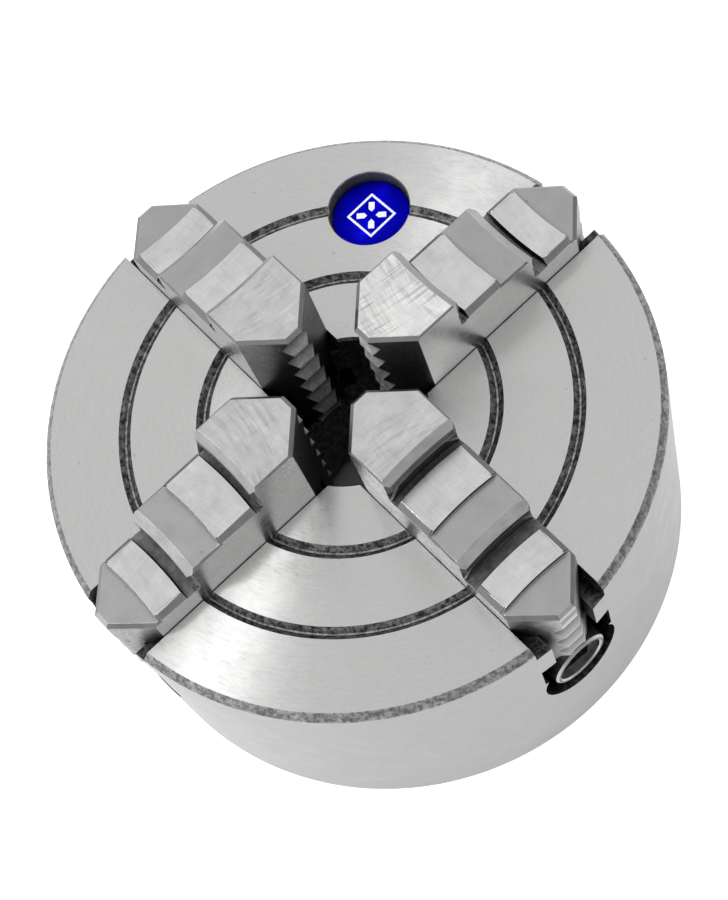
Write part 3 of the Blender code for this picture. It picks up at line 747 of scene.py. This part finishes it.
def corner_cutter(step, side):
    """Wedge that chamfers one upright corner of a step's wall, down through the groove."""
    corner = WALL_U[step] + STEP_ARC_R - math.sqrt(STEP_ARC_R ** 2 - JAW_HALF ** 2)
    inner, outer = corner - WALL_CORNER - CUTTER_CLEAR, corner + CUTTER_CLEAR
    outline = [(inner, side * (JAW_HALF + CUTTER_CLEAR)),
               (outer, side * (JAW_HALF - WALL_CORNER - CUTTER_CLEAR)),
               (outer, side * (JAW_HALF + OVERRUN)), (inner, side * (JAW_HALF + OVERRUN))]
    low = BODY_H + STEP_TOPS[step + 1] - GROOVE_DEPTH - CUTTER_CLEAR
    return prism(outline, low, BODY_H + STEP_TOPS[step] + OVERRUN)


def side_edges():
    """The long top edges of a jaw, each as its start and end along u, its height and its break."""
    top, mid, low = (BODY_H + rise for rise in STEP_TOPS)
    slope = JAW_HALF - TIP_HALF
    return [(JAW_IN + slope, WALL_U[0] - UNDERCUT, top, SIDE_BREAK),
            (WALL_U[0] - UNDERCUT, LAND_END[0], mid, LAND_BREAK),
            (LAND_END[0], WALL_U[1] - UNDERCUT, mid - RELIEF_DROP, SIDE_BREAK),
            (WALL_U[1] - UNDERCUT, LAND_END[1], low, LAND_BREAK),
            (LAND_END[1], JAW_OUT - slope, low - RELIEF_DROP, SIDE_BREAK)]


def jaw_cutters():
    for step in range(2):
        yield step_cutter(step)
        for side in (-1, 1):
            yield corner_cutter(step, side)
    near, far = JAW_IN - OVERRUN, JAW_OUT + OVERRUN
    for side in (-1, 1):
        inner, outer = side * (LUG_HALF - GAP), side * (JAW_HALF + OVERRUN)
        yield prism([(near, inner), (far, inner), (far, outer), (near, outer)],
                    BODY_H - LUG_BOTTOM - GAP, BODY_H - LUG_TOP + GAP)
        for low, high, height, size in side_edges():
            yield edge_cutter((low, side * JAW_HALF, height), (high, side * JAW_HALF, height),
                              (0, side, 0), size)
    slope = JAW_HALF - TIP_HALF
    for tip, inward, height, teeth in ((JAW_IN, 1, STEP_TOPS[0], INNER_TEETH),
                                       (JAW_OUT, -1, STEP_TOPS[2] - RELIEF_DROP, OUTER_TEETH)):
        z = BODY_H + height
        yield edge_cutter((tip, -TIP_HALF, z), (tip, TIP_HALF, z), (-inward, 0, 0), TIP_BREAK,
                          OVERRUN)
        for side in (-1, 1):
            yield edge_cutter((tip, side * TIP_HALF, z), (tip + inward * slope, side * JAW_HALF, z),
                              (-inward, side, 0), TIP_BREAK, OVERRUN)
        yield tooth_comb(tip, inward, teeth)
    layout = [("ring", near - LEAD, ROOT_R + GAP), ("thread", near, far),
              ("ring", far + LEAD, ROOT_R + GAP)]
    yield threaded_rod(layout, jaw_thread(GAP), 40, -1, radial(SCREW_Z))


def jaw_face(centre, normal):
    """Which finish a face of the jaw has."""
    top, mid, low = (BODY_H + rise for rise in STEP_TOPS)
    z = centre.z
    u, across = centre.x, abs(centre.y)
    depth = OUTER_TEETH[2]
    near_tip = min(u - JAW_IN, JAW_OUT - u) < depth + TINY and across < TIP_HALF + depth
    if near_tip and abs(normal.y) < 0.1 and z < top - TIP_BREAK - TINY:
        return "tooth" if u < LAND_END[0] else "tip"
    if z < BODY_H - 0.5 * MM:
        return "foot"
    if normal.z > 0.99:
        if abs(z - top) < TINY:
            return "crown"
        if min(abs(z - mid), abs(z - low)) < TINY:
            return "land"
        if min(abs(z - mid + RELIEF_DROP), abs(z - low + RELIEF_DROP)) < TINY:
            return "matt"
        return "groove"
    if abs(normal.y) > 0.98:
        return "side"
    if abs(normal.z) < 0.8 and normal.x > 0.6 and u < LAND_END[1] + MM:
        step = 0 if z > mid - GROOVE_DEPTH else 1
        if z < (mid, low)[step] + TINY and u > LAND_END[step] - MM:
            return "drop"
        lip = (mid, low)[step] + UNDERCUT_RISE[step]
        if abs(normal.z) < 0.1 and z > lip - TINY:
            return "wall" if z > lip + BRIGHT_EDGE else "burnished"
        if z < lip:
            return "groove"
    if normal.z > 0.3 and abs(normal.y) < 0.35 and normal.x > 0.3 and u < LAND_END[1] + MM:
        return "bevel" if z > mid else "bevel_low"
    if normal.z > 0.3:
        return "chamfer"
    return "flank"


def crown_finish(name, tone, across, lengthwise):
    """Ground top of a jaw.  across and lengthwise are the strengths of its two sets of arcs."""
    swirls = (((0.078, 0.016), 700.0, 6.0, 0.2, 1.0 + across),
              ((0.071, -0.012), 1900.0, 6.0, 0.1, 1.0 - across),
              ((0.030, 0.075), 1500.0, 5.0, 0.12, 1.0 - lengthwise))
    return metal(name, tone, 0.3, brushed((900, 200, 100), 0.1), lines=0.04, cloud=0.12, bump=0.05,
                 specks=0.2, wear_and_highlight=0.7, scratches=swirls, shade=recess(1.5 * MM, 0.8))


def jaw_finishes():
    cross = (((0.10, 0.01), 900.0, 5.0, 0.2, 1.08), ((0.03, 0.09), 1800.0, 6.0, 0.1, 0.93))
    # Painted shade in corners: shallow on the ground faces, deep between the jaws.
    shallow, deep = recess(1.5 * MM, 0.75), recess(26.0 * MM, 0.03)
    return {
        "crown": crown_finish("jaw_crown", tone=0.4, across=0.17, lengthwise=0.07),
        "land": metal("jaw_land", 0.435, 0.28, brushed((900, 50, 100), 0.25), lines=0.05, cloud=0.12,
                      bump=0.02, wear_and_highlight=0.7, scratches=cross, shade=shallow),
        "matt": metal("jaw_matt", 0.29, 0.44, brushed((1500, 1500, 1500)), lines=0.03, bump=0.08,
                      specks=0.35, wear_and_highlight=0.7),
        "burnished": metal("jaw_undercut_lip", 0.75, 0.3, brushed((300, 300, 3000)), lines=0.1,
                           cloud=0.1, bump=0.1, wear_and_highlight=1.0),
        # Painted shade: the upper bevel is a darker copy of the lower one.
        "bevel_low": metal("jaw_lower_bevel", 0.42, 0.36, brushed((1500, 400, 1500)), lines=0.1,
                           cloud=0.15, bump=0.15, specks=0.3, wear_and_highlight=0.6),
        "bevel": metal("jaw_bevel", 0.36, 0.36, brushed((1500, 400, 1500)), lines=0.1, cloud=0.15,
                       bump=0.15, specks=0.3, wear_and_highlight=0.6),
        # Painted shade: the drops below the lands and the step walls are ground steel like the lands,
        # given dark tones where shade falls on them.
        "drop": metal("jaw_drop", 0.14, 0.42, brushed((300, 300, 3000)), lines=0.1, cloud=0.1, bump=0.1,
                      wear_and_highlight=0.3),
        "wall": metal("jaw_wall", 0.16, 0.36, brushed((300, 300, 3000)), lines=0.1, cloud=0.1, bump=0.1),
        "groove": metal("jaw_groove", 0.2, 0.5, brushed((1500, 300, 1500)), lines=0.2, cloud=0.2,
                        bump=0.2, wear_and_highlight=0.0, grime=0.3),
        # Painted shade: the chamfers are given a dark tone where shade falls on them.
        "chamfer": metal("jaw_chamfer", 0.2, 0.32, brushed((600, 600, 600)), lines=0.05, cloud=0.1,
                         bump=0.08, wear_and_highlight=0.4),
        "side": metal("jaw_side", 0.75, 0.28, brushed((200, 100, 2800)), lines=0.03, cloud=0.06,
                      bump=0.06, specks=0.15, wear_and_highlight=0.6, shade=shallow),
        "flank": metal("jaw_flank", 0.5, 0.3, brushed((200, 200, 2500)), bump=0.08, wear_and_highlight=0.6, shade=deep),
        # Painted light and shade on the teeth: the inner teeth get full brightness, and tooth_roots
        # darkens the roots of both sets of notches.
        "tooth": metal("jaw_tooth", 1.0, 0.5, brushed((1500, 300, 1500)), lines=0.1, cloud=0.15,
                       wear_and_highlight=1.0, grime=0.25, shade=tooth_roots(INNER_TEETH, 0.2)),
        "tip": metal("jaw_outer_tooth", 0.42, 0.38, brushed((1500, 300, 1500)), bump=0.1, specks=0.2,
                     wear_and_highlight=1.0, shade=tooth_roots(OUTER_TEETH, 0.25)),
        "foot": metal("jaw_foot", 0.3, 0.42, brushed((300, 1500, 1500)), lines=0.1, cloud=0.1, bump=0.2,
                      specks=0.1, wear_and_highlight=0.3, grime=0.3, shade=deep),
    }


def mark_edges(mesh):
    """Mark for breaking every crease whose faces are large enough to take it."""
    bm = bmesh.new()
    bm.from_mesh(mesh)
    weight = bm.edges.layers.float.new("bevel_weight_edge")
    for edge in bm.edges:
        span = edge.calc_length()
        roomy = all(face.calc_area() / span > 2 * FINE_BREAK for face in edge.link_faces)
        if edge.calc_face_angle(0.0) > FINE_BREAK_ANGLE and span > FINE_BREAK and roomy:
            edge[weight] = 1.0
    bm.to_mesh(mesh)
    bm.free()


def jaw_shift(index):
    """How far outward a jaw of the frame stands from the place that it is drawn in."""
    corners = [quarter(index).inverted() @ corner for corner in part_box("jaw_%d" % (index + 1))]
    return max(corner.x for corner in corners) - JAW_OUT


def make_jaws():
    block = prism(jaw_plan(), BODY_H - SLOT_FLOOR + GAP, BODY_H + STEP_TOPS[0])
    blank = finish_object("jaw_blank", block)
    cut(blank, list(jaw_cutters()))
    clean(blank)
    mark_edges(blank.data)
    paint(blank, jaw_finishes(), jaw_face)
    hatched = crown_finish("jaw_crown_hatched", tone=0.56, across=0.24, lengthwise=0.4)
    for index in range(4):
        jaw = bpy.data.objects.new("jaw_%d_ground" % (index + 1), blank.data.copy())
        bpy.context.scene.collection.objects.link(jaw)
        jaw.matrix_world = quarter(index) @ Matrix.Translation((jaw_shift(index), 0, 0))
        if index == HATCHED_JAW:
            jaw.data.materials[jaw.data.materials.find("jaw_crown")] = hatched
        bevel = jaw.modifiers.new("broken edges", "BEVEL")
        bevel.width = FINE_BREAK
        bevel.segments = 2
        bevel.limit_method = "WEIGHT"
        bevel.use_clamp_overlap = False
        bevel.harden_normals = True
        weld = jaw.modifiers.new("weld", "WELD")
        weld.merge_threshold = WELD
        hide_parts("jaw_%d" % (index + 1))
        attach(jaw, "jaw_body_%d" % (index + 1))
    bpy.data.objects.remove(blank, do_unlink=True)


# ---------------------------------------------------------------- screws

def screw_layout():
    """Rings and threads of a jaw screw, from its blind inner end outward."""
    break_in, break_out = 0.8 * MM, 0.4 * MM
    return [("ring", SCREW_START, ROOT_R - break_in), ("ring", SCREW_START + break_in, ROOT_R),
            ("thread", *THREADS[0]), ("ring", NECK[0], ROOT_R), ("ring", NECK[0], NECK_R),
            ("ring", NECK[1], NECK_R), ("ring", NECK[1], ROOT_R), ("thread", *THREADS[1]),
            ("ring", SCREW_END - break_out, ROOT_R), ("ring", SCREW_END, ROOT_R - break_out)]


def make_screws():
    steps = 64
    blank = finish_object("screw_blank", threaded_rod(screw_layout(), jaw_thread(), steps))
    half = SQUARE / 2
    mouth = [(0, SCREW_END - MOUTH_DEPTH), (MOUTH_R, SCREW_END - MOUTH_DEPTH),
             (MOUTH_R, SCREW_END - MOUTH_BREAK), (MOUTH_R + MOUTH_BREAK, SCREW_END),
             (MOUTH_R + MOUTH_BREAK, SCREW_END + MM), (0, SCREW_END + MM)]
    square = [(-half, -half), (half, -half), (half, half), (-half, half)]
    cut(blank, [lathe(mouth, steps),
                prism(square, SCREW_END - SQUARE_DEPTH, SCREW_END - MOUTH_DEPTH / 2)])
    clean(blank)
    finishes = {
        "end": metal("screw_end", 0.38, 0.34, brushed((1200, 1200, 300)), lines=0.1, cloud=0.1,
                     bump=0.15, specks=0.2, wear_and_highlight=0.8, grime=0.1),
        "thread": metal("screw_thread", 0.36, 0.36, brushed((300, 300, 4000)), lines=0.1, cloud=0.1,
                        bump=0.2, specks=0.1, wear_and_highlight=0.6, grime=0.2),
        "socket": metal("screw_socket", 0.11, 0.42, brushed((500, 500, 1500)), lines=0.1, cloud=0.1,
                        bump=0.2, specks=0.1, wear_and_highlight=0.3, grime=0.6, shade=recess(4.0 * MM, 0.1)),
    }

    def screw_face(centre, normal):
        radius = math.hypot(centre.x, centre.y)
        if centre.z > SCREW_END - 5 * MM and radius > MOUTH_R - TINY:
            return "end"
        return "socket" if radius < MOUTH_R and centre.z > SCREW_END - SQUARE_DEPTH - MM else "thread"

    paint(blank, finishes, screw_face)
    for index in range(4):
        screw = bpy.data.objects.new("jaw_screw_%d_turned" % (index + 1), blank.data.copy())
        bpy.context.scene.collection.objects.link(screw)
        turn = Matrix.Rotation(2 * math.pi * jaw_shift(index) / LEAD, 4, "Z")
        screw.matrix_world = quarter(index) @ radial(SCREW_Z) @ turn
        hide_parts("jaw_screw_%d" % (index + 1))
        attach(screw, "screw_body_%d" % (index + 1))
    bpy.data.objects.remove(blank, do_unlink=True)


# ---------------------------------------------------------------- badge, yokes and set screws

def enamel():
    """Blue enamel, brushed, darkened towards its rim by painted shade from the pocket wall."""
    material = bpy.data.materials.new("badge_enamel")
    material.use_nodes = True
    tree = material.node_tree
    shader = tree.nodes["Principled BSDF"]
    place = object_place(tree)
    brush = noise(tree, lines_along(tree, (300, 3000, 300), BADGE_BRUSH_TURN), 1.0, 3.0)
    cloud = noise(tree, place, 200.0, 3.0)
    moved = about(tree, (BADGE_X, BADGE_Y))
    flat = add(tree, "VectorMath", {"operation": "MULTIPLY"}, i0=moved, i1=(1.0, 1.0, 0.0)).outputs[0]
    reach = length(tree, flat)
    # Painted shade: the enamel darkens towards its rim, next to the pocket wall.
    rim = remap(tree, reach, 4.0 * MM, BADGE_POCKET_R, 0.0, 0.75)
    colour = mix(tree, remap(tree, brush, 0.3, 0.7, 0.0, 1.0), (0.0, 0.0, 0.36, 1.0),
                 (0.004, 0.004, 0.5, 1.0))
    clouded = mix(tree, remap(tree, cloud, 0.4, 0.7, 0.0, 0.4), colour, (0.0, 0.0, 0.26, 1.0))
    tree.links.new(mix(tree, rim, clouded, (0.0, 0.0, 0.2, 1.0)), shader.inputs["Base Color"])
    shader.inputs["Metallic"].default_value = 1.0
    along_the_lathe(tree, shader, 0.9)
    tree.links.new(remap(tree, brush, 0.3, 0.7, 0.3, 0.42), shader.inputs["Roughness"])
    raised = add(tree, "Bump", None, Strength=0.15, Distance=0.01 * MM, Height=brush)
    tree.links.new(raised.outputs[0], shader.inputs["Normal"])
    return material


def white_ink():
    """White of the sign, a little uneven."""
    material = bpy.data.materials.new("badge_white")
    material.use_nodes = True
    tree = material.node_tree
    shader = tree.nodes["Principled BSDF"]
    place = object_place(tree)
    cloud = noise(tree, place, 1200.0, 3.0)
    tree.links.new(mix(tree, remap(tree, cloud, 0.35, 0.7, 0.0, 1.0), (0.86, 0.88, 0.95, 1.0),
                       (0.7, 0.73, 0.86, 1.0)), shader.inputs["Base Color"])
    tree.links.new(remap(tree, cloud, 0.3, 0.7, 0.35, 0.55), shader.inputs["Roughness"])
    raised = add(tree, "Bump", None, Strength=0.1, Distance=0.01 * MM, Height=cloud)
    tree.links.new(raised.outputs[0], shader.inputs["Normal"])
    return material


def band(points, inner, low, high, place):
    """Flat frame between an outline about the origin and the same outline shrunk to the inner share."""
    bm = bmesh.new()
    rings = [[bm.verts.new((x * share, y * share, z)) for x, y in points]
             for share, z in ((1.0, low), (1.0, high), (inner, high), (inner, low))]
    for first, second in zip(rings, rings[1:] + rings[:1]):
        for i in range(len(points)):
            j = (i + 1) % len(points)
            bm.faces.new((first[i], first[j], second[j], second[i]))
    bmesh.ops.transform(bm, matrix=place, verts=bm.verts)
    return bm


def make_mark(top):
    """White sign of four jaws in a square frame, standing in for the maker's sign."""
    place = badge_place() @ Matrix.Rotation(MARK_TURN, 4, "Z")
    low, high = top - MARK_RISE, top + MARK_RISE
    square = [(MARK_R, 0), (0, MARK_R), (-MARK_R, 0), (0, -MARK_R)]
    shapes = [band(square, 1 - MARK_BAND / MARK_R, low, high, place)]
    near, far, half = MARK_JAW
    jaw = [(near, 0), (near + half, -half), (far, -half), (far, half), (near + half, half)]
    for index in range(4):
        shapes.append(prism(jaw, low, high, place @ quarter(index)))
    joined = bmesh.new()
    for number, shape in enumerate(shapes):
        mesh = bpy.data.meshes.new("mark_%d" % number)
        shape.to_mesh(mesh)
        shape.free()
        joined.from_mesh(mesh)
        bpy.data.meshes.remove(mesh)
    mark = finish_object("badge_mark", joined)
    mark.data.materials.append(white_ink())
    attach(mark, "chuck_body")


def make_badge():
    low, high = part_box("badge_disc")
    radius = (high.x - low.x) / 2
    profile = [(0, low.z), (radius, low.z), (radius, high.z - BADGE_BREAK),
               (radius - BADGE_BREAK, high.z), (0, high.z)]
    disc = finish_object("badge_plate", lathe(profile, 128, badge_place()))
    disc.data.materials.append(enamel())
    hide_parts("badge_disc")
    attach(disc, "chuck_body")
    make_mark(high.z)


def dress_cad_nodes():
    """Give the yokes and their set screws, which stay as the frame has them, their metal."""
    steel = metal("blackened_steel", 0.22, 0.42, brushed((1500, 1500, 400)), lines=0.1, cloud=0.1,
                  bump=0.2, specks=0.2, wear_and_highlight=0.6, grime=0.2)
    for name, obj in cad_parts.items():
        if name.startswith("thrust_yoke") or name.startswith("yoke_set_screw"):
            for slot in obj.material_slots:
                slot.material = steel


# ---------------------------------------------------------------- studio

FLOOR_HALF = 40.0
FLOOR_Z = -0.2 * MM
FLOOR_GLOW = 0.6
GLOW_START = (BODY_R - 12 * MM, BODY_R - MM)     # radii over which the floor's glow sets in
GLOW_END = (0.14, 0.2)                           # and over which it fades
AIM = (0, 0, 0.05)
DARK_SIDE = (0.35, -0.94, 0.0)


def make_floor():
    """White floor that glows round the chuck, so that its shadow stays white, but not under it."""
    bm = bmesh.new()
    corners = ((-1, -1), (1, -1), (1, 1), (-1, 1))
    bm.faces.new([bm.verts.new((x * FLOOR_HALF, y * FLOOR_HALF, FLOOR_Z)) for x, y in corners])
    floor = finish_object("studio_floor", bm)
    material = bpy.data.materials.new("studio_white")
    material.use_nodes = True
    shader = material.node_tree.nodes["Principled BSDF"]
    shader.inputs["Base Color"].default_value = (0.8, 0.8, 0.8, 1.0)
    shader.inputs["Roughness"].default_value = 0.9
    shader.inputs["Specular IOR Level"].default_value = 0.0
    shader.inputs["Emission Color"].default_value = (1.0, 1.0, 1.0, 1.0)
    tree = material.node_tree
    away = length(tree, object_place(tree))
    glow = times(tree, remap(tree, away, *GLOW_START, 0.0, FLOOR_GLOW),
                 remap(tree, away, *GLOW_END, 1.0, 0.1))
    tree.links.new(glow, shader.inputs["Emission Strength"])
    floor.data.materials.append(material)


def make_light(name, place, target, size, brightness):
    """Softbox whose face has the given brightness."""
    light = bpy.data.lights.new(name, "AREA")
    light.shape = "RECTANGLE"
    light.size, light.size_y = size
    light.energy = brightness * math.pi * size[0] * size[1]
    obj = bpy.data.objects.new(name, light)
    bpy.context.scene.collection.objects.link(obj)
    obj.location = place
    obj.rotation_euler = (Vector(target) - Vector(place)).to_track_quat("-Z", "Y").to_euler()


def make_studio():
    """White tent, darker low down on one side, with a large dim box and a small bright one."""
    world = bpy.data.worlds.new("studio")
    bpy.context.scene.world = world
    world.use_nodes = True
    tree = world.node_tree
    heading = add(tree, "TexCoord").outputs["Generated"]
    sideways = dot(tree, heading, DARK_SIDE)
    height = add(tree, "SeparateXYZ", None, Vector=heading).outputs[2]
    low = remap(tree, height, 0.2, 0.5, 1.0, 0.0)
    strength = add(tree, "Mix", {"data_type": "FLOAT"}, i0=low, i2=1.05,
                   i3=remap(tree, sideways, -0.4, 0.95, 1.3, 0.35)).outputs[0]
    tree.links.new(strength, tree.nodes["Background"].inputs["Strength"])
    tree.nodes["Background"].inputs["Color"].default_value = (1.0, 1.0, 1.0, 1.0)
    make_light("softbox_over", (0.16, 0.44, 1.0), AIM, (0.8, 0.8), 0.3)
    make_light("softbox_left", (-0.67, 0.18, 0.98), AIM, (0.26, 0.26), 22.0)
    bpy.context.scene.view_settings.view_transform = "Standard"


def make_camera():
    """Eye, heading and lens of the photograph's view, with the small shift that its framing needs."""
    data = bpy.data.cameras.new("camera")
    data.lens = 78.5
    data.sensor_width = 36.0
    data.shift_x = -0.0263
    data.shift_y = -0.0134
    camera = bpy.data.objects.new("camera", data)
    bpy.context.scene.collection.objects.link(camera)
    camera.location = (-0.05421, -0.16377, 0.40121)
    camera.rotation_euler = [math.radians(a) for a in (23.278, 10.286, -42.467)]
    bpy.context.scene.camera = camera


def main():
    make_camera()
    make_studio()
    make_floor()
    make_body()
    make_jaws()
    make_screws()
    make_badge()
    dress_cad_nodes()


main()
